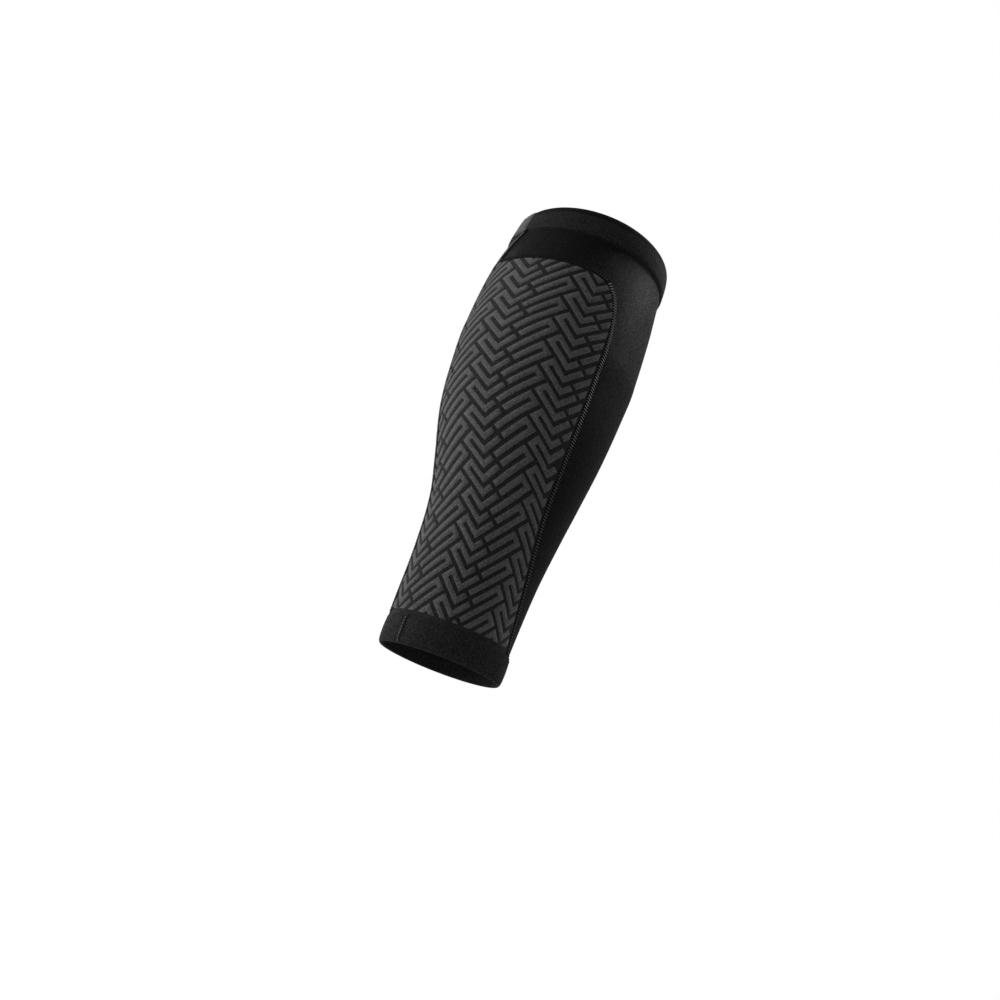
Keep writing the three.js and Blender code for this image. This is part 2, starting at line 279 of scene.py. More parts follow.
def place(angle, height, out):
    """Points at angles round the leg, heights above the lower edge and distances out from the leg."""
    angle, height, out = np.broadcast_arrays(*(np.asarray(v, float) for v in (angle, height, out)))
    depth = np.where(np.cos(angle) > 0, reach("back", height), reach("front", height)) + out
    width = reach("side", height) + out
    return np.stack((-width * np.sin(angle), depth * np.cos(angle), height + BASE), axis=-1)


def per_radian(angle, height):
    """Length of cloth round the leg for each radian, at an angle and a height."""
    step = 1e-4
    gap = place(np.asarray(angle) + step, height, FRONT_WALL) - place(angle, height, FRONT_WALL)
    return np.linalg.norm(gap, axis=-1) / step


# Length of cloth round the leg, in a table over heights and angles
ARC_MARGIN = 0.6
ARC_TRIES = 6
ARC_HEIGHTS = np.linspace(0, LENGTH, 166)
ARC_ANGLES = np.linspace(-ARC_MARGIN, TURN + ARC_MARGIN, 721)
ARC_RATES = per_radian(ARC_ANGLES[None, :], ARC_HEIGHTS[:, None])
ARC_MOVES = (ARC_RATES[:, 1:] + ARC_RATES[:, :-1]) / 2 * np.diff(ARC_ANGLES)
ARCS = np.concatenate((np.zeros((len(ARC_HEIGHTS), 1)), np.cumsum(ARC_MOVES, axis=1)), axis=1)
ARCS -= np.array([np.interp(0, ARC_ANGLES, row) for row in ARCS])[:, None]


def arc(angle, height):
    """Length of cloth from the back centre to an angle, at a height."""
    angle, height = np.broadcast_arrays(np.asarray(angle, float), np.asarray(height, float))
    row = np.clip(height / LENGTH * (len(ARC_HEIGHTS) - 1), 0, len(ARC_HEIGHTS) - 1.001)
    column = (angle - ARC_ANGLES[0]) / (ARC_ANGLES[1] - ARC_ANGLES[0])
    low, left = row.astype(int), np.clip(column.astype(int), 0, len(ARC_ANGLES) - 2)
    share, t = row - low, column - left
    below = ARCS[low, left] * (1 - t) + ARCS[low, left + 1] * t
    above = ARCS[low + 1, left] * (1 - t) + ARCS[low + 1, left + 1] * t
    return below * (1 - share) + above * share


def angle_at(length, height):
    """The angle that lies a length of cloth from the back centre, by a few steps from a guess."""
    length, height = np.broadcast_arrays(np.asarray(length, float), np.asarray(height, float))
    angle = length / per_radian(0.5, height)
    for _ in range(ARC_TRIES):
        angle = angle + (length - arc(angle, height)) / per_radian(angle, height)
    return angle


def seam_angle(height):
    """The back seam's angle: straight up, then turning towards the outer side in the yoke."""
    turned = (np.asarray(height) - (PANEL_TOP - SKEW_HEIGHT)) / SKEW_HEIGHT
    return SEAM_SKEW * np.clip(turned, 0, 1) ** 2


def edge_angle(height):
    """Angle of the calf panel's front edge."""
    return np.radians(smooth_read(PANEL_EDGE[:, 0], PANEL_EDGE[:, 1], np.asarray(height) / LENGTH))


def arch_height(share):
    """Height of the calf panel's upper edge, for shares of the way from the back seam to the front edge."""
    share = np.clip(share, 0, 1)
    peak = ARCH_PEAK * np.clip(1 - share / PEAK_REACH, 0, None) ** 2
    return CORNER + CORNER_DROP * np.sqrt(1 - share ** SQUARENESS) + peak


def back_angle(half, share, height, seam_clear, edge_clear):
    """Angles on one half of the back, for shares of the way from the back seam to the panel's front edge."""
    seam = half * seam_angle(height) + seam_clear / per_radian(0.0, height)
    edge = edge_angle(height)
    front = edge + edge_clear / per_radian(edge, height)
    return half * (seam + (front - seam) * share)


def unit(vectors):
    """Vectors brought to length one. The small number keeps a vector of no length as it is."""
    return vectors / (np.linalg.norm(vectors, axis=1)[:, None] + 1e-12)


class Body:
    """A mesh in the making: points, their place on the cloth in millimetres, and faces with a material."""

    def __init__(self):
        self.points, self.cloth, self.faces, self.kinds = [], [], [], []
        self.count = 0

    def add(self, points, cloth=None):
        points = points.reshape(-1, 3)
        cloth = np.zeros_like(points) if cloth is None else cloth.reshape(-1, 3)
        self.points.append(points)
        self.cloth.append(cloth)
        first = self.count
        self.count += len(points)
        return first

    def face(self, loop, kind=0):
        self.faces.append(tuple(int(v) for v in loop))
        self.kinds.append(kind)

    def grid(self, points, cloth, kind=0, closed=False):
        """A grid of points, closed round each row, with a face in each cell. closed joins its ends too."""
        rows, columns = points.shape[:2]
        first = self.add(points, cloth)
        for row in range(rows if closed else rows - 1):
            for column in range(columns):
                below, above = row * columns, (row + 1) % rows * columns
                beside = (column + 1) % columns
                self.face((first + below + column, first + below + beside,
                           first + above + beside, first + above + column), kind)
        return first

    def rod(self, rings, cloth, kind):
        """A solid along rings of points, with a face over each end."""
        count, sides = rings.shape[:2]
        first = self.grid(rings, cloth, kind)
        last = first + (count - 1) * sides
        self.face([first + k for k in reversed(range(sides))], kind)
        self.face([last + k for k in range(sides)], kind)

    def thread(self, route, radius, kind):
        """A round thread along a route."""
        along = unit(np.vstack((route[1:], route[-1:])) - np.vstack((route[:1], route[:-1])))
        side = unit(np.cross(along, unit(route * (1, 1, 0))))
        up = np.cross(side, along)
        turns = np.arange(THREAD_SIDES) * TURN / THREAD_SIDES
        rings = (route[:, None] + radius * (np.cos(turns)[None, :, None] * side[:, None]
                                            + np.sin(turns)[None, :, None] * up[:, None]))
        self.rod(rings, None, kind)

    def build(self, name, materials, crease=CREASE):
        """The mesh as a piece of the sleeve."""
        mesh = bpy.data.meshes.new(name)
        mesh.from_pydata(np.concatenate(self.points).tolist(), [], self.faces)
        cloth = mesh.attributes.new("cloth", "FLOAT_VECTOR", "POINT")
        cloth.data.foreach_set("vector", np.concatenate(self.cloth).ravel())
        for material in materials:
            mesh.materials.append(material)
        mesh.polygons.foreach_set("material_index", self.kinds)
        clean_up(mesh)
        mesh.shade_smooth()
        mesh.set_sharp_from_angle(angle=math.radians(crease))
        piece = bpy.data.objects.new(name, mesh)
        bpy.context.scene.collection.objects.link(piece)
        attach(piece, "root")
        return piece


def clean_up(mesh):
    """Points that no face uses go, and the faces of each closed part look outward."""
    work = bmesh.new()
    work.from_mesh(mesh)
    loose = [v for v in work.verts if not v.link_faces]
    bmesh.ops.delete(work, geom=loose, context="VERTS")
    bmesh.ops.recalc_face_normals(work, faces=work.faces)
    work.to_mesh(mesh)
    work.free()


def cloth_sheet(body, angles, heights, filled, wall, arcs):
    """Cloth of an even wall over the filled cells of a grid, with a face along each open edge."""
    rows, columns = filled.shape
    levels = {0: place(angles, heights, 0.0), 1: place(angles, heights, wall)}
    cloth = np.stack((arcs / MM, heights / MM, np.zeros_like(arcs)), axis=-1)
    first = {level: body.add(points, cloth + (0, 0, level)) for level, points in levels.items()}

    def number(row, column, level):
        return first[level] + row * (columns + 1) + column

    padded = np.zeros((rows + 2, columns + 2), bool)
    padded[1:-1, 1:-1] = filled
    for row in range(rows):
        for column in range(columns):
            if not filled[row, column]:
                continue
            loop = ((row, column), (row, column + 1), (row + 1, column + 1), (row + 1, column))
            body.face([number(*spot, 1) for spot in loop])
            body.face([number(*spot, 0) for spot in reversed(loop)])
            beside = ((row, column + 1), (row + 1, column + 2), (row + 2, column + 1), (row + 1, column))
            for side, spot in enumerate(beside):
                if not padded[spot]:
                    a, b = loop[side], loop[(side + 1) % 4]
                    body.face((number(*a, 0), number(*b, 0), number(*b, 1), number(*a, 1)))


# Materials


class Nodes:
    """Short ways to add shader nodes to a material."""

    def __init__(self, material):
        material.use_nodes = True
        self.tree = material.node_tree
        self.shader = self.tree.nodes["Principled BSDF"]

    def node(self, kind, **settings):
        made = self.tree.nodes.new(kind)
        for key, value in settings.items():
            setattr(made, key, value)
        return made

    def link(self, source, target):
        self.tree.links.new(source, target)

    def set(self, name, value):
        self.shader.inputs[name].default_value = value

    def math(self, operation, *values):
        made = self.node("ShaderNodeMath", operation=operation)
        for socket, value in zip(made.inputs, values):
            if isinstance(value, (int, float)):
                socket.default_value = value
            else:
                self.link(value, socket)
        return made.outputs[0]

    def cloth(self):
        attribute = self.node("ShaderNodeAttribute", attribute_name="cloth")
        split = self.node("ShaderNodeSeparateXYZ")
        self.link(attribute.outputs["Vector"], split.inputs[0])
        return split.outputs[0], split.outputs[1]

    def height(self):
        """Height over the sleeve's foot, in metres."""
        where = self.node("ShaderNodeTexCoord")
        split = self.node("ShaderNodeSeparateXYZ")
        self.link(where.outputs["Object"], split.inputs[0])
        return self.math("SUBTRACT", split.outputs[2], BASE)

    def noise(self, scale, detail=2.0, roughness=0.5):
        """Noise over the piece, scale in cells for each metre."""
        where = self.node("ShaderNodeTexCoord")
        made = self.node("ShaderNodeTexNoise")
        made.inputs["Scale"].default_value = scale
        made.inputs["Detail"].default_value = detail
        made.inputs["Roughness"].default_value = roughness
        self.link(where.outputs["Object"], made.inputs["Vector"])
        return made.outputs["Fac"]

    def knit(self, wale, course):
        """Height of plain knit: columns of V loops, from 0 to 1."""
        across, up = self.cloth()
        column = self.math("FRACT", self.math("DIVIDE", across, wale))
        side = self.math("MULTIPLY", self.math("ABSOLUTE", self.math("SUBTRACT", column, 0.5)), 2.0)
        row = self.math("ADD", self.math("DIVIDE", up, course), self.math("MULTIPLY", side, LOOP_SLANT))
        loop = self.math("SINE", self.math("MULTIPLY", self.math("FRACT", row), math.pi))
        groove = self.math("SUBTRACT", 1.0, self.math("POWER", side, GROOVE_POWER))
        return self.math("MULTIPLY", loop, groove)

    def ribs(self, wale, course):
        """Height of rib knit: round columns crossed by fine rows, from 0 to 1."""
        across, up = self.cloth()
        rib = self.math("ABSOLUTE", self.math("SINE", self.math("MULTIPLY", across, math.pi / wale)))
        row = self.math("ABSOLUTE", self.math("SINE", self.math("MULTIPLY", up, math.pi / course)))
        rows = self.math("MULTIPLY", row, 1 - RIB_SHARE)
        return self.math("ADD", self.math("MULTIPLY", rib, RIB_SHARE), rows)

    def blend(self, share, low, high):
        mix = self.node("ShaderNodeMix", data_type="RGBA")
        for name, value in (("A", low), ("B", high)):
            socket = next(s for s in mix.inputs if s.name == name and s.type == "RGBA")
            if isinstance(value, tuple):
                socket.default_value = (*value, 1.0)
            else:
                self.link(value, socket)
        self.link(share, mix.inputs[0])
        return next(s for s in mix.outputs if s.type == "RGBA")

    def range(self, value, low, high, to_low=0.0, to_high=1.0):
        made = self.node("ShaderNodeMapRange", interpolation_type="SMOOTHSTEP")
        for name, number in (("From Min", low), ("From Max", high), ("To Min", to_low), ("To Max", to_high)):
            made.inputs[name].default_value = number
        self.link(value, made.inputs["Value"])
        return made.outputs[0]

    def bump(self, height, strength, distance):
        made = self.node("ShaderNodeBump")
        made.inputs["Strength"].default_value = strength
        made.inputs["Distance"].default_value = distance
        self.link(height, made.inputs["Height"])
        self.link(made.outputs[0], self.shader.inputs["Normal"])


def grey(level):
    """A neutral cloth colour with a trace of blue."""
    return (level, level, level * BLUE_TRACE)


def knit_material(name, tones, loops, relief, sheen, roughness=0.85, specular=0.1, grain=900.0, mottle=0.5,
                  spread=0.06, patches=0.16, patch_scale=35.0, edge=None, fade=None):
    """A knit: two close tones in its grain, slow changes of tone, and loops in its relief. Painted shade
    darkens it above the height edge, in millimetres of cloth, and towards the lower of the two heights given
    for a thread's painted shade."""
    dark, light = tones
    material = bpy.data.materials.new(name)
    make = Nodes(material)
    share = make.range(make.noise(grain, 3.0, 0.6), *GRAIN_LIMITS)
    tone = make.blend(share, grey(dark), grey(light))
    slow = make.range(make.noise(patch_scale), *PATCH_LIMITS, 0.0, patches)
    tone = make.blend(slow, tone, grey(dark * PATCH_SHADE))
    # Painted shade above a height of the cloth, for a rim that turns away from the light
    if edge:
        above = make.range(make.cloth()[1], edge - PAINTED_EDGE_BLUR, edge + PAINTED_EDGE_BLUR)
        tone = make.blend(above, tone, grey(dark * PAINTED_EDGE_SHADE))
    # Painted shade: darker towards the lower of two heights, for cloth under the calf's widest part that
    # turns away from the light
    if fade:
        tone = make.blend(make.range(make.height(), *fade), grey(dark * PAINTED_SHADE_TONE), tone)
    make.link(tone, make.shader.inputs["Base Color"])
    rough = make.range(share, 0.0, 1.0, roughness + spread, roughness - spread)
    make.link(rough, make.shader.inputs["Roughness"])
    make.set("Specular IOR Level", specular)
    make.set("Sheen Weight", sheen)
    make.set("Sheen Roughness", SHEEN_ROUGHNESS)
    kind, wale, course = loops
    height = make.knit(wale, course) if kind == "knit" else make.ribs(wale, course)
    uneven = make.math("MULTIPLY", make.noise(grain * UNEVEN_GRAIN), mottle)
    make.bump(make.math("ADD", height, uneven), BUMP_STRENGTH, relief)
    return material


def bar_knit():
    """The lighter yarn of the calf panel's raised bars."""
    return knit_material("calf_bar", (0.066, 0.14), CALF_LOOPS, 0.16 * MM, 0.35, specular=0.15)


def ground_knit():
    """The dark yarn between the bars."""
    return knit_material("calf_ground", (0.015, 0.034), CALF_LOOPS, 0.16 * MM, 0.16, roughness=0.9)


def front_satin():
    """The smooth front panel and yoke, with a fine, uneven shine."""
    return knit_material("front_satin", (0.003, 0.0105), FINE_LOOPS, 0.12 * MM, 0.03, roughness=0.5,
                         specular=0.07, grain=950.0, mottle=2.2, spread=0.13)


def band_rib(name, edge=None):
    """The elastic rib of both bands. The top band's has painted shade along its upper rim, where the rim
    turns away from the light.
    """
    return knit_material(name, (0.011, 0.03), RIB_LOOPS, 0.14 * MM, 0.04, grain=800.0, mottle=1.0, edge=edge)


def lap_knit():
    """The lighter cloth of the top band's lap."""
    return knit_material("lap_knit", (0.07, 0.15), RIB_LOOPS, 0.15 * MM, 0.06, specular=0.15, grain=800.0)


def tape_knit():
    """The nearly black ridge under a seam's threads."""
    return knit_material("seam_tape", (0.005, 0.009), RIB_LOOPS, 0.08 * MM, 0.02, specular=0.08)


def yarn(name, tones, roughness=0.7, specular=0.2, **shades):
    """Spun thread, with strands too fine to tell apart."""
    return knit_material(name, tones, FINE_LOOPS, 0.03 * MM, 0.05, roughness=roughness, specular=specular,
                         grain=2500.0, **shades)


def seam_yarn():
    """The light thread of the front seams, uneven in tone, with painted shade that darkens it towards the
    foot.
    """
    return yarn("thread_grey", (0.3, 0.44), 0.6, 0.3, patches=0.75, patch_scale=260.0, fade=THREAD_PAINTED_SHADE)


def make_materials():
    return {
        "bar": bar_knit(),
        "ground": ground_knit(),
        "front": front_satin(),
        "band": band_rib("band_rib"),
        # The top band's rib, with painted shade on its upper rim
        "top": band_rib("band_rib_painted_rim_shade", (LENGTH - TOP_PAINTED_SHADE) / MM),
        "lap": lap_knit(),
        "tape": tape_knit(),
        "thread": seam_yarn(),
        "soft": yarn("thread_soft", (0.14, 0.22)),
        "dark": yarn("thread_dark", (0.02, 0.035)),
    }


# Pieces


def crowded(columns):
    """Shares of the way from the back seam to the front edge, closer together near the edge."""
    return 1 - (1 - np.linspace(0, 1, columns + 1)) ** CROWDING


def calf_sheet(half, name, node, material):
    """The ground cloth of one half of the calf panel."""
    rows, columns = 132, 64
    share = crowded(columns)
    top = arch_height(share) - JOINT_GAP / 2
    heights = CLOTH_BOTTOM + (top - CLOTH_BOTTOM)[None, :] * np.linspace(0, 1, rows + 1)[:, None]
    angles = back_angle(half, share[None, :], heights, JOINT_GAP / 2, -JOINT_GAP / 2)
    filled = np.ones((rows, columns), bool)
    body = Body()
    cloth_sheet(body, angles, heights, filled, CALF_WALL, arc(np.abs(angles), heights))
    piece = body.build(name, [material])
    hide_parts(node)
    return piece


def front_sheet(material):
    """The front panel and yoke, one cloth from the back seam round the shin to the back seam."""
    side_columns, front_columns, low_rows, yoke_rows = 56, 64, 120, 26
    share = crowded(side_columns)
    arch = arch_height(share) + JOINT_GAP / 2
    low = np.linspace(0, 1, low_rows + 1)[:, None]
    high = np.linspace(0, 1, yoke_rows + 1)[1:, None]
    side = np.vstack((CLOTH_BOTTOM + (arch - CLOTH_BOTTOM)[None, :] * low,
                      arch[None, :] + (CLOTH_TOP - arch)[None, :] * high))
    outer = back_angle(OUTER, share[None, :], side, JOINT_GAP / 2, JOINT_GAP / 2)
    inner = back_angle(INNER, share[None, :], side, JOINT_GAP / 2, JOINT_GAP / 2) + TURN
    start = outer[:, -1:]
    across = np.linspace(0, 1, front_columns + 1)[None, 1:-1]
    middle = start + (TURN - 2 * start) * across
    angles = np.hstack((outer, middle, inner[:, ::-1]))
    heights = np.hstack((side, np.repeat(side[:, -1:], front_columns - 1, axis=1), side[:, ::-1]))
    rows, columns = angles.shape[0] - 1, angles.shape[1] - 1
    filled = np.ones((rows, columns), bool)
    filled[:low_rows, :side_columns] = False
    filled[:low_rows, columns - side_columns:] = False
    body = Body()
    cloth_sheet(body, angles, heights, filled, FRONT_WALL, arc(angles, heights))
    piece = body.build("front_cloth", [material])
    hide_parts("front_panel")
    return piece


def fret_room(half, across, height):
    """How far a place on the flat cloth lies inside the part of the calf panel that carries the fret."""
    inside = np.clip(height, PANEL_BOTTOM, ARCH + ARCH_PEAK)
    seam = arc(half * seam_angle(inside), inside)
    edge = arc(edge_angle(inside), inside)
    share = (across - seam) / (edge - seam)
    step = 0.02
    slope = (arch_height(share + step) - arch_height(share - step)) / (2 * step * (edge - seam))
    under_arch = (arch_height(share) - height) / np.sqrt(1 + slope ** 2)
    under_arch[share > 1] = -1.0
    behind = np.minimum(across - seam, under_arch) - FRET_SEAM_MARGIN
    ahead = np.minimum(edge - across - FRET_EDGE_MARGIN, height - PANEL_BOTTOM - FRET_LOW_MARGIN)
    return np.minimum(behind, ahead)


def fret_cells():
    """The cells of the fine lattice that the hooks cover, by their lines. Even lines start a bar."""
    cells = set()
    repeats = range(-FRET_REPEATS, FRET_REPEATS + 1)
    for a in repeats:
        for b in repeats:
            shift = (a, b) @ np.array(FRET_STEPS)
            for hook in FRET_HOOKS:
                spots = np.array(hook) + shift
                for start, end in zip(spots, spots[1:]):
                    step = np.sign(end - start)
                    spot = start.copy()
                    while not (spot == end).all():
                        cells.add((2 * spot[0], 2 * spot[1]))
                        cells.add((2 * spot[0] + step[0], 2 * spot[1] + step[1]))
                        spot = spot + step
                    cells.add((2 * end[0], 2 * end[1]))
    return cells


def flat_area(points, loop):
    x, y = np.array([points[v] for v in loop]).T
    return abs(np.dot(x, np.roll(y, -1)) - np.dot(y, np.roll(x, -1))) / 2


def without_scraps(points, polygons):
    """Drops bars that the panel's outline cuts down to scraps."""
    owner = list(range(len(points)))

    def root(v):
        while owner[v] != v:
            owner[v] = owner[owner[v]]
            v = owner[v]
        return v

    for loop in polygons:
        for v in loop[1:]:
            owner[root(v)] = root(loop[0])
    sizes = [0.0] * len(points)
    for loop in polygons:
        sizes[root(loop[0])] += flat_area(points, loop)
    return [loop for loop in polygons if sizes[root(loop[0])] > SCRAP]


def lattice_line(n):
    """Where a line of the fine lattice lies: an even one starts a bar and an odd one ends it."""
    return (n // 2) * FRET_PITCH + (FRET_BAR / 2 if n % 2 else -FRET_BAR / 2)


def lattice_place(i, j):
    """A crossing of two lines: its length of cloth from the back centre, and its height."""
    slant = math.sqrt(0.5)
    height = (lattice_line(i) + lattice_line(j)) * slant + (PANEL_BOTTOM + ARCH) / 2
    wide = float(arc(TURN, min(max(height, 0), LENGTH))) / STRETCH_GIRTH
    return (lattice_line(i) - lattice_line(j)) * slant * wide ** STRETCH_POWER + FRET_START, height


def cell_corners(i, j):
    return ((i, j), (i + 1, j), (i + 1, j + 1), (i, j + 1))


def fret_places(cells):
    """The places of the crossings that the cells on the panel and a little beyond it have."""
    places = {}
    for i, j in cells:
        across, height = lattice_place(i, j)
        if FRET_WIDE[0] < across < FRET_WIDE[1] and FRET_TALL[0] < height < FRET_TALL[1]:
            for spot in cell_corners(i, j):
                places.setdefault(spot, lattice_place(*spot))
    return places


def cut_to_panel(cells, places, room):
    """The cells as points and polygons, cut off where the room for the fret ends."""
    points, numbers, polygons = [], {}, []

    def corner(spot):
        if spot not in numbers:
            numbers[spot] = len(points)
            points.append(places[spot])
        return numbers[spot]

    def cut(a, b):
        a, b = min(a, b), max(a, b)
        if (a, b) not in numbers:
            t = room[a] / (room[a] - room[b])
            numbers[a, b] = len(points)
            points.append(tuple(p + (q - p) * t for p, q in zip(places[a], places[b])))
        return numbers[a, b]

    for cell in cells:
        loop = cell_corners(*cell)
        if any(spot not in places for spot in loop) or all(room[spot] <= 0 for spot in loop):
            continue
        made = []
        for spot, after in zip(loop, loop[1:] + loop[:1]):
            if room[spot] > 0:
                made.append(corner(spot))
            if (room[spot] > 0) != (room[after] > 0):
                made.append(cut(spot, after))
        if len(made) > 2 and flat_area(points, made) > TINY:
            polygons.append(made)
    return np.array(points), polygons


def open_edges(polygons):
    """The edges that only one polygon has, in the order in which they are met."""
    edges = {}
    for loop in polygons:
        for a, b in zip(loop, loop[1:] + loop[:1]):
            if (b, a) in edges:
                del edges[b, a]
            else:
                edges[a, b] = True
    return list(edges)


def bevel_ways(points, edges):
    """How far the points on open edges move inwards along their mitres, for a bevel of one."""
    meets = {}
    for a, b in edges:
        along = points[b] - points[a]
        length = np.linalg.norm(along)
        normal = np.array((-along[1], along[0])) / max(length, 1e-9)
        for spot in (a, b):
            meets.setdefault(spot, []).append(normal)
    ways = np.zeros_like(points)
    for spot, normals in meets.items():
        total = np.sum(normals, axis=0)
        mitre = total / max(1 + float(np.dot(normals[0], normals[-1])), LEAST_MITRE_SUM)
        ways[spot] = mitre / max(float(np.linalg.norm(mitre)) / LONGEST_MITRE, 1.0)
    for a, b in edges:
        if np.linalg.norm(points[a] - points[b]) < 2 * FRET_BEVEL:
            ways[a] = ways[b] = (ways[a] + ways[b]) / 2
    return ways


def fret(half, name, material):
    """The raised bars on one half of the calf panel, each hook a closed ribbon with soft edges."""
    cells = sorted(fret_cells())
    places = fret_places(cells)
    across, height = np.array(list(places.values())).T
    room = dict(zip(places, fret_room(half, across, height)))
    points, polygons = cut_to_panel(cells, places, room)
    polygons = without_scraps(points, polygons)
    edges = open_edges(polygons)
    inset = points + bevel_ways(points, edges) * FRET_BEVEL

    def lift(flat_points, out):
        across, height = flat_points.T
        return place(half * angle_at(across, height), height, out)

    body = Body()
    cloth = np.column_stack((points / MM, np.zeros(len(points))))
    low = body.add(lift(points, CALF_WALL - FRET_SUNK), cloth)
    mid = body.add(lift(points, CALF_WALL + FRET_SHOULDER), cloth)
    top = body.add(lift(inset, CALF_WALL + FRET_RELIEF), cloth)
    for loop in polygons:
        body.face([top + v for v in loop])
        body.face([low + v for v in reversed(loop)])
    for a, b in edges:
        body.face((low + a, low + b, mid + b, mid + a))
        body.face((mid + a, mid + b, top + b, top + a))
    return body.build(name, [material], FRET_CREASE)


def band_out(share):
    """How far a band's outside stands off the leg, for shares of its height."""
    return BAND_WALL + BAND_CROWN * np.sin(math.pi * np.clip(share, 0, 1)) ** BAND_FULLNESS


def band(node, bottom, height, material):
    """A folded band: round edges, an outside that swells a little, and its cloth doubled."""
    columns, edge = 288, BAND_ROUND
    turns = np.linspace(0, math.pi / 2, 6)
    rise = (1 - np.cos(np.linspace(0, math.pi, 17)[1:-1])) / 2
    span = height - 2 * edge
    outline = [(edge * (1 - math.cos(t)), BAND_WALL - edge + edge * math.sin(t)) for t in turns]
    outline += [(edge + span * t, band_out(t)) for t in rise]
    outline += [(height - edge + edge * math.sin(t), BAND_WALL - edge + edge * math.cos(t)) for t in turns]
    outline += [(height - edge * (1 - math.cos(t)), edge * (1 - math.sin(t))) for t in turns]
    outline += [(edge + span * t, 0.0) for t in rise[::-1]]
    outline += [(edge * (1 - math.sin(t)), edge * (1 - math.cos(t))) for t in turns]
    outline = np.array(outline)
    angles = np.arange(columns) * TURN / columns
    heights = np.repeat(bottom + outline[None, :, 0], columns, axis=0)
    outs = np.repeat(outline[None, :, 1], columns, axis=0)
    spots = np.repeat(angles[:, None], len(outline), axis=1)
    cloth = np.stack((arc(spots, heights) / MM, heights / MM, outs / MM), axis=-1)
    body = Body()
    body.grid(place(spots, heights, outs), cloth, closed=True)
    piece = body.build(node + "_knit", [material])
    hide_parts(node)


class Line:
    """A seam's middle line on the leg, at even steps, with its direction at each."""

    def __init__(self, angles, heights, step):
        rate = per_radian(angles, heights)
        moves = np.hypot(np.diff(angles) * (rate[1:] + rate[:-1]) / 2, np.diff(heights))
        lengths = np.concatenate(([0], np.cumsum(moves)))
        self.length = lengths[-1]
        count = max(int(round(self.length / step)), 2)
        self.s = np.linspace(0, self.length, count + 1)
        self.angle = np.interp(self.s, lengths, angles)
        self.height = np.interp(self.s, lengths, heights)
        rate = per_radian(self.angle, self.height)
        along = np.stack((np.gradient(self.angle) * rate, np.gradient(self.height)), axis=1)
        self.along = along / np.linalg.norm(along, axis=1)[:, None]
        self.rate = rate

    def at(self, s, across, out):
        """Points at lengths along the line, distances across it towards its left, and out from the leg."""
        s, across, out = np.broadcast_arrays(*(np.asarray(v, float) for v in (s, across, out)))
        angle = np.interp(s, self.s, self.angle)
        height = np.interp(s, self.s, self.height)
        rate = np.interp(s, self.s, self.rate)
        way = np.stack([np.interp(s, self.s, self.along[:, k]) for k in (0, 1)], axis=-1)
        return place(angle - across * way[..., 1] / rate, height + across * way[..., 0], out)

    def cloth(self, across):
        """Places on the cloth, in millimetres, of points at distances across each step."""
        across, along = np.meshgrid(across / MM, self.s / MM)
        return np.stack((across, along, np.zeros_like(along)), axis=-1)


def ridge(share):
    """Rise of a seam's round back, for shares of its half width."""
    return TAPE_RISE * np.sqrt(1 - share ** 4)


def tape_top(across, left, right):
    """Height of a seam's ridge, for distances across it. left and right are the walls on its two sides."""
    share = np.clip(across / (SEAM_WIDTH / 2), -1, 1)
    blend = 0.5 - 0.5 * np.tanh(share * TAPE_STEEPNESS)
    return left * (1 - blend) + right * blend + TAPE_LIFT + ridge(share)


def tape(body, line, left, right):
    """The rounded ridge of cloth under a seam's threads."""
    shares = np.linspace(-1, 1, TAPE_COLUMNS)
    reached = shares * SEAM_WIDTH / 2
    tops = tape_top(reached, left, right)
    lows = tops[::-1] - TAPE_DEPTH - ridge(shares)
    across = np.concatenate((reached, reached[::-1]))
    spots = line.at(line.s[:, None], across, np.concatenate((tops, lows)))
    body.rod(spots, line.cloth(across), CLOTH)


def ladder(body, line, middle, half_width, top, kind, start=0.0, end=1.0):
    """Threads that cross a seam like rungs, with their ends in the cloth. top(s, across) is the surface."""
    shares = np.array((-1.0, -0.88, -0.3, 0.3, 0.88, 1.0))
    lifts = np.array((-0.25, 0.06, 0.14, 0.14, 0.06, -0.25)) * MM
    across = middle + shares * half_width
    count = int(line.length * (end - start) / STITCH)
    for k in range(count):
        s = line.length * start + (k + 0.5 + RUNG_SLANT * shares / 2) * STITCH
        body.thread(line.at(s, across, top(s, across) + lifts), THREAD, kind)


def needle_row(body, line, across, top, kind, stitches):
    """A row of straight stitches that dip into the cloth at both ends. top(s, across) is the surface."""
    pitch, share, radius = stitches
    lifts = np.array((-0.3, 0.06, 0.12, 0.06, -0.3)) * MM
    for k in range(int(line.length / pitch)):
        s = (k + 0.1 + np.array((0.0, 0.12, 0.5, 0.88, 1.0)) * share) * pitch
        body.thread(line.at(s, across, top(s, across) + lifts), radius, kind)


def panel_outline(half, bottom):
    """The line of the seam round one half of the calf panel, from a height at its foot to the back seam."""
    edge_points, arch_points = 300, 400
    heights = np.linspace(bottom, CORNER, edge_points)
    angles = back_angle(half, 1.0, heights, 0.0, 0.0)
    clear = (SEAM_WIDTH / 2 + ARCH_SEAM_GAP) / (per_radian(0.0, ARCH) * edge_angle(ARCH))
    share = clear + (1 - clear) * (1 - np.linspace(0, 1, arch_points) ** CROWDING)
    arch = arch_height(share)
    return (np.concatenate((angles, back_angle(half, share, arch, 0.0, 0.0)[1:])),
            np.concatenate((heights, arch[1:])))


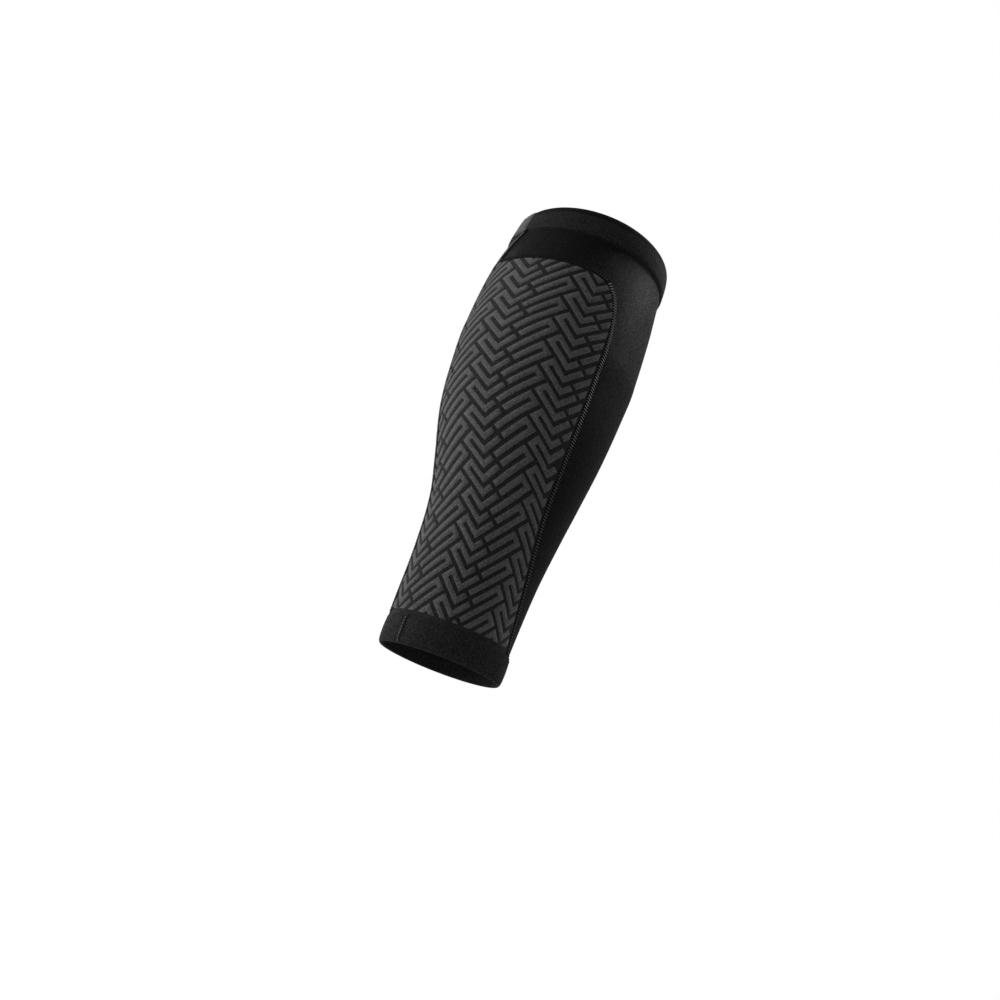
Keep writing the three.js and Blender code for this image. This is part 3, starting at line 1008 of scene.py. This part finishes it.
def panel_seam(half, node, materials):
    """The seam round one half: light threads along the front edge, dark ones under the arch."""
    left, right = (CALF_WALL, FRONT_WALL) if half == OUTER else (FRONT_WALL, CALF_WALL)
    body = Body()
    tape(body, Line(*panel_outline(half, BOTTOM_BAND - UNDER_BAND), SEAM_STEP), left, right)
    line = Line(*panel_outline(half, PANEL_BOTTOM), SEAM_STEP)
    rising = slice(np.argmax(line.height))
    light_length = np.interp(CORNER + LIGHT_END * CORNER_DROP, line.height[rising], line.s[rising])
    light_share = float(light_length) / line.length

    def top(s, across):
        return tape_top(across, left, right)

    ladder(body, line, 0.0, LADDER_REACH, top, LIGHT, 0.0, light_share)
    ladder(body, line, 0.0, LADDER_REACH, top, DARK, light_share, 1.0)
    piece = body.build(node + "_threads", materials)
    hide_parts(node)


def back_line(bottom, top):
    """The middle line of the back seam between two heights."""
    heights = np.linspace(bottom, top, 400)
    return Line(seam_angle(heights), heights, SEAM_STEP)


def back_seam(materials):
    """The seam up the back: dark rungs between two rows of grey stitches."""
    body = Body()
    tape(body, back_line(BOTTOM_BAND - UNDER_BAND, TOP_BAND + UNDER_BAND), CALF_WALL, CALF_WALL)
    line = back_line(PANEL_BOTTOM, PANEL_TOP)

    def top(s, across):
        return tape_top(across, CALF_WALL, CALF_WALL) + BACK_LIFT

    ladder(body, line, 0.0, LADDER_REACH, top, DARK)
    for side in (-1, 1):
        needle_row(body, line, side * NEEDLE_REACH, top, LIGHT, BACK_ROW)
    piece = body.build("back_seam_threads", materials)
    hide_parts("back_seam")


def lap(node, bottom, height, width, angle, rows, materials):
    """The lap that closes a band: a rounded patch with stitching on it. Each row has its place across the
    lap and its form: rungs, light stitches or dark ones."""
    points, columns = 28, 21
    heights = np.linspace(bottom + LAP_SETBACK, bottom + height - LAP_SETBACK, points)
    line = Line(np.full(points, angle), heights, LAP_STEP)

    def top(s, across):
        along = np.clip(2 * s / line.length - 1, -1, 1)
        side = np.clip(2 * across / width, -1, 1)
        under = band_out((LAP_SETBACK + s - BAND_ROUND) / (height - 2 * BAND_ROUND))
        ends = LAP_END_SHARE + (1 - LAP_END_SHARE) * np.sqrt(1 - along ** LAP_END_POWER)
        return under + LAP_RISE * np.sqrt(1 - side ** LAP_SIDE_POWER) * ends

    half = np.linspace(-1, 1, columns) * width / 2
    across = np.concatenate((half, half[::-1]))
    tops = top(line.s[:, None], half[None, :])
    outs = np.hstack((tops, np.full(tops.shape, BAND_WALL - LAP_SUNK)))
    body = Body()
    body.rod(line.at(line.s[:, None], across, outs), line.cloth(across), CLOTH)
    for position, form in rows:
        if form == "rungs":
            ladder(body, line, position, LAP_LADDER_REACH, top, LIGHT, *LAP_STITCHED)
        else:
            needle_row(body, line, position, top, LIGHT if form == "light" else DARK, LAP_ROW)
    piece = body.build(node + "_stitched", materials)
    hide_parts(node)


def top_lap(materials):
    """The wide lap of the top band, beside the end of the back seam, with three columns of rungs."""
    angle = float(seam_angle(LENGTH) - TOP_LAP_WIDTH / 2 / per_radian(0.0, LENGTH))
    columns = [(column * TOP_LAP_PITCH, "rungs") for column in (-1, 0, 1)]
    lap("top_band_joint", TOP_BAND, LENGTH - TOP_BAND, TOP_LAP_WIDTH, angle, columns, materials)


def bottom_lap(materials):
    """The narrow lap of the bottom band, with a light and a dark row of stitches."""
    rows = [(-BOTTOM_LAP_ROW, "light"), (BOTTOM_LAP_ROW, "dark")]
    lap("bottom_band_joint", 0.0, BOTTOM_BAND, BOTTOM_LAP_WIDTH, BOTTOM_LAP_ANGLE, rows, materials)


def hem_stitches(name, material, rows):
    """Rows of small stitches round the leg. Each row has a height, a distance out, and its two end angles."""
    points, step = 361, 1.2 * MM
    body = Body()
    for height, out, start, end in rows:
        line = Line(np.linspace(start, end, points), np.full(points, height), step)
        needle_row(body, line, 0.0, lambda s, across: np.full(s.shape, out), CLOTH, HEM_ROW)
    body.build(name, [material])


def hem_rows(band_edge, way):
    """Stitches that sew a band to the cloth: one row on the band and one on each cloth beside it. way is 1
    where the band lies above its edge and -1 where it lies below."""
    on_band = band_edge + way * (BAND_ROUND + HEM_ON_BAND)
    out = band_out(HEM_ON_BAND / (BOTTOM_BAND - 2 * BAND_ROUND))
    rows = [(on_band, out, 0, TURN)]
    beside = band_edge - way * HEM_BESIDE
    if way > 0:
        start = SEAM_SKEW + HEM_SEAM_CLEAR
        return rows + [(beside, FRONT_WALL, start, TURN + SEAM_SKEW - HEM_SEAM_CLEAR)]
    front = float(edge_angle(beside)) + HEM_EDGE_CLEAR
    calf = front - 2 * HEM_EDGE_CLEAR
    rows += [(beside, CALF_WALL, HEM_SEAM_CLEAR, calf), (beside, CALF_WALL, -calf, -HEM_SEAM_CLEAR)]
    return rows + [(beside, FRONT_WALL, front, TURN - front)]


def make_sleeve(materials):
    outer = calf_sheet(OUTER, "calf_cloth_outer", "calf_panel_outer", materials["ground"])
    inner = calf_sheet(INNER, "calf_cloth_inner", "calf_panel_inner", materials["ground"])
    fret_outer = fret(OUTER, "calf_fret_outer", materials["bar"])
    fret_inner = fret(INNER, "calf_fret_inner", materials["bar"])
    front = front_sheet(materials["front"])
    threads = [materials["tape"], materials["thread"], materials["dark"]]
    panel_seam(OUTER, "panel_seam_outer", threads)
    panel_seam(INNER, "panel_seam_inner", threads)
    back_seam(threads)
    band("top_band", TOP_BAND, LENGTH - TOP_BAND, materials["top"])
    band("bottom_band", 0.0, BOTTOM_BAND, materials["band"])
    hem_stitches("top_hem_stitches", materials["dark"], hem_rows(TOP_BAND, 1))
    hem_stitches("bottom_hem_stitches", materials["dark"], hem_rows(BOTTOM_BAND, -1))
    top_lap([materials["lap"], materials["soft"]])
    bottom_lap([materials["band"], materials["soft"], materials["dark"]])
    declare_cloth()


def declare_cloth():
    """Works out half the girth at the calf and at the ankle, and uses neither. Unworn the three sheets are
    about a fifth smaller round the leg and a little shorter.
    """
    half_girth = float(arc(edge_angle(FULLEST * LENGTH), FULLEST * LENGTH))
    half_girth_ankle = float(arc(edge_angle(PANEL_BOTTOM), PANEL_BOTTOM))


# Stage


def make_camera():
    """The camera stands low on the outer side, looks up at the sleeve and is rolled."""
    data = bpy.data.cameras.new("camera")
    data.sensor_width = SENSOR
    data.lens = SENSOR * FOCAL_SHARE
    camera = bpy.data.objects.new("camera", data)
    away = CAMERA_TURN + CAMERA_YAW
    ahead = Vector((math.cos(CAMERA_PITCH) * math.cos(away), -math.cos(CAMERA_PITCH) * math.sin(away),
                    math.sin(CAMERA_PITCH)))
    level = ahead.cross(Vector((0, 0, 1))).normalized()
    over = level.cross(ahead)
    right = level * math.cos(CAMERA_ROLL) + over * math.sin(CAMERA_ROLL)
    up = over * math.cos(CAMERA_ROLL) - level * math.sin(CAMERA_ROLL)
    eye = Vector((-CAMERA_REACH * math.cos(CAMERA_TURN), CAMERA_REACH * math.sin(CAMERA_TURN),
                  BASE + CAMERA_HEIGHT))
    axes = Matrix((right, up, -ahead)).transposed()
    camera.matrix_world = Matrix.Translation(eye) @ axes.to_4x4()
    bpy.context.scene.collection.objects.link(camera)
    bpy.context.scene.camera = camera


def make_floor():
    """A pale floor that runs into the white behind it."""
    bpy.ops.mesh.primitive_plane_add(size=FLOOR_SIZE, location=(0, 0, BASE - FLOOR_DROP))
    floor = bpy.context.object
    floor.name = "floor"
    material = bpy.data.materials.new("pale_floor")
    make = Nodes(material)
    make.set("Base Color", (FLOOR_TONE, FLOOR_TONE, FLOOR_TONE, 1))
    make.set("Roughness", 0.9)
    make.set("Specular IOR Level", 0.1)
    make.set("Emission Color", (1, 1, 1, 1))
    path = make.node("ShaderNodeLightPath")
    seen = make.math("MULTIPLY", path.outputs["Is Camera Ray"], FLOOR_GLOW)
    make.link(seen, make.shader.inputs["Emission Strength"])
    floor.data.materials.append(material)


def make_lights():
    """Square lights, all aimed at the calf."""
    for name, (angle, rise, distance, size, power) in LIGHTS.items():
        angle, rise = math.radians(angle), math.radians(rise)
        data = bpy.data.lights.new(name, "AREA")
        data.size = size
        data.energy = power
        light = bpy.data.objects.new(name, data)
        level = Vector((-math.sin(angle), math.cos(angle), 0))
        towards = level * math.cos(rise) + Vector((0, 0, math.sin(rise)))
        light.location = towards * distance
        light.rotation_euler = towards.to_track_quat("Z", "Y").to_euler()
        bpy.context.scene.collection.objects.link(light)


def make_world():
    """White behind the sleeve, and a softer grey in the light that it gives."""
    world = bpy.data.worlds.new("studio")
    world.use_nodes = True
    tree = world.node_tree
    seen = tree.nodes.new("ShaderNodeBackground")
    seen.inputs["Color"].default_value = (1, 1, 1, 1)
    given = tree.nodes["Background"]
    given.inputs["Color"].default_value = (1, 1, 1, 1)
    given.inputs["Strength"].default_value = WORLD_LIGHT
    path = tree.nodes.new("ShaderNodeLightPath")
    mix = tree.nodes.new("ShaderNodeMixShader")
    tree.links.new(path.outputs["Is Camera Ray"], mix.inputs[0])
    tree.links.new(given.outputs[0], mix.inputs[1])
    tree.links.new(seen.outputs[0], mix.inputs[2])
    tree.links.new(mix.outputs[0], tree.nodes["World Output"].inputs["Surface"])
    bpy.context.scene.world = world
    bpy.context.scene.view_settings.view_transform = "Standard"


make_camera()
make_floor()
make_lights()
make_world()
make_sleeve(make_materials())
